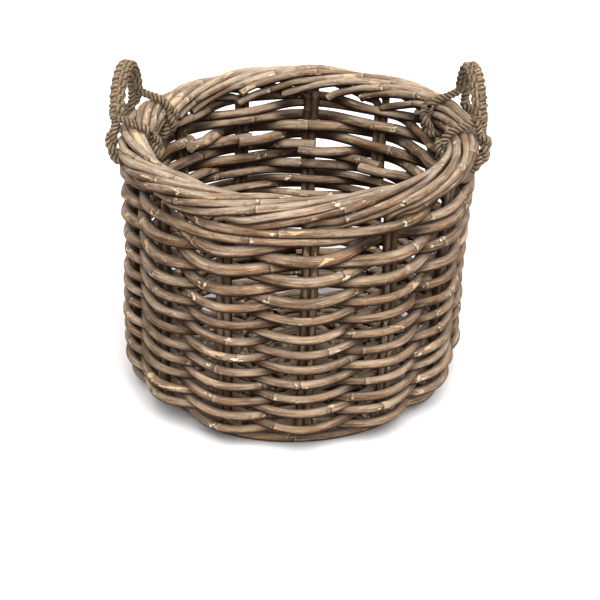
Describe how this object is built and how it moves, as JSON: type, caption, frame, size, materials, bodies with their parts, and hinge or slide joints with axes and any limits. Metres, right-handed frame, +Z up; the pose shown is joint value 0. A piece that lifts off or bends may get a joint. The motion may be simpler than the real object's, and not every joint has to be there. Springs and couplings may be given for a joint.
{
  "type": "woven log basket",
  "caption": "Round log basket of weathered rattan rods woven on paired stakes, with a rolled border and two upright plaited rope handles.",
  "frame": {"origin": "on the floor, under the middle of the base", "axes": "+Z up out of the open top, +X and -X towards the two handles, -Y towards the front of the wall"},
  "size_m": [0.5289, 0.5012, 0.475],
  "materials": {
    "stake_rattan": "weathered grey-brown bark, matt",
    "base_rattan": "weathered grey-brown bark, matt",
    "foot_rattan": "weathered grey-brown bark, matt",
    "weaver_rattan": "weathered grey-brown bark with pale nodes, matt",
    "plaited_rope": "dry plaited grass rope",
    "lashing_straw": "dry split straw"
  },
  "bodies": {
    "basket": {"base_sticks_lower": "stake_rattan", "base_sticks_upper": "stake_rattan", "base_stick_odd": "stake_rattan", "base_weavers": "base_rattan", "stake_pair_01": "stake_rattan", "stake_pair_02": "stake_rattan", "stake_pair_03": "stake_rattan", "stake_pair_04": "stake_rattan", "stake_pair_05": "stake_rattan", "stake_pair_06": "stake_rattan", "stake_pair_07": "stake_rattan", "stake_pair_08": "stake_rattan", "stake_pair_09": "stake_rattan", "stake_pair_10": "stake_rattan", "stake_pair_11": "stake_rattan", "stake_pair_12": "stake_rattan", "stake_pair_13": "stake_rattan", "foot_rod_01": "foot_rattan", "foot_rod_02": "foot_rattan", "foot_rod_03": "foot_rattan", "wall_weaver_01": "weaver_rattan", "wall_weaver_02": "weaver_rattan", "wall_weaver_03": "weaver_rattan", "wall_weaver_04": "weaver_rattan", "wall_weaver_05": "weaver_rattan", "wall_weaver_06": "weaver_rattan", "wall_weaver_07": "weaver_rattan", "wall_weaver_08": "weaver_rattan", "wall_weaver_09": "weaver_rattan", "wall_weaver_10": "weaver_rattan", "wall_weaver_11": "weaver_rattan", "wall_weaver_12": "weaver_rattan", "wall_weaver_13": "weaver_rattan", "wall_weaver_14": "weaver_rattan", "wall_weaver_15": "weaver_rattan", "wall_weaver_16": "weaver_rattan", "wall_weaver_17": "weaver_rattan", "wall_weaver_18": "weaver_rattan", "wall_weaver_19": "weaver_rattan", "wall_weaver_20": "weaver_rattan", "wall_weaver_21": "weaver_rattan", "top_rod_01": "weaver_rattan", "top_rod_02": "weaver_rattan"},
    "handle_right": {"handle_right": "plaited_rope", "handle_right_lashings": "lashing_straw"},
    "handle_left": {"handle_left": "plaited_rope", "handle_left_lashings": "lashing_straw"}
  },
  "joints": [
    {"name": "handle_right_tilt", "type": "hinge", "parent": "basket", "child": "handle_right", "pos_m": [0.22124, 0.02652, 0.37], "axis": [-0.119, 0.9929, 0], "range_deg": [-45, 45]},
    {"name": "handle_left_tilt", "type": "hinge", "parent": "basket", "child": "handle_left", "pos_m": [-0.22106, 0.03524, 0.37], "axis": [-0.1574, -0.9875, 0], "range_deg": [-45, 45]}
  ]
}
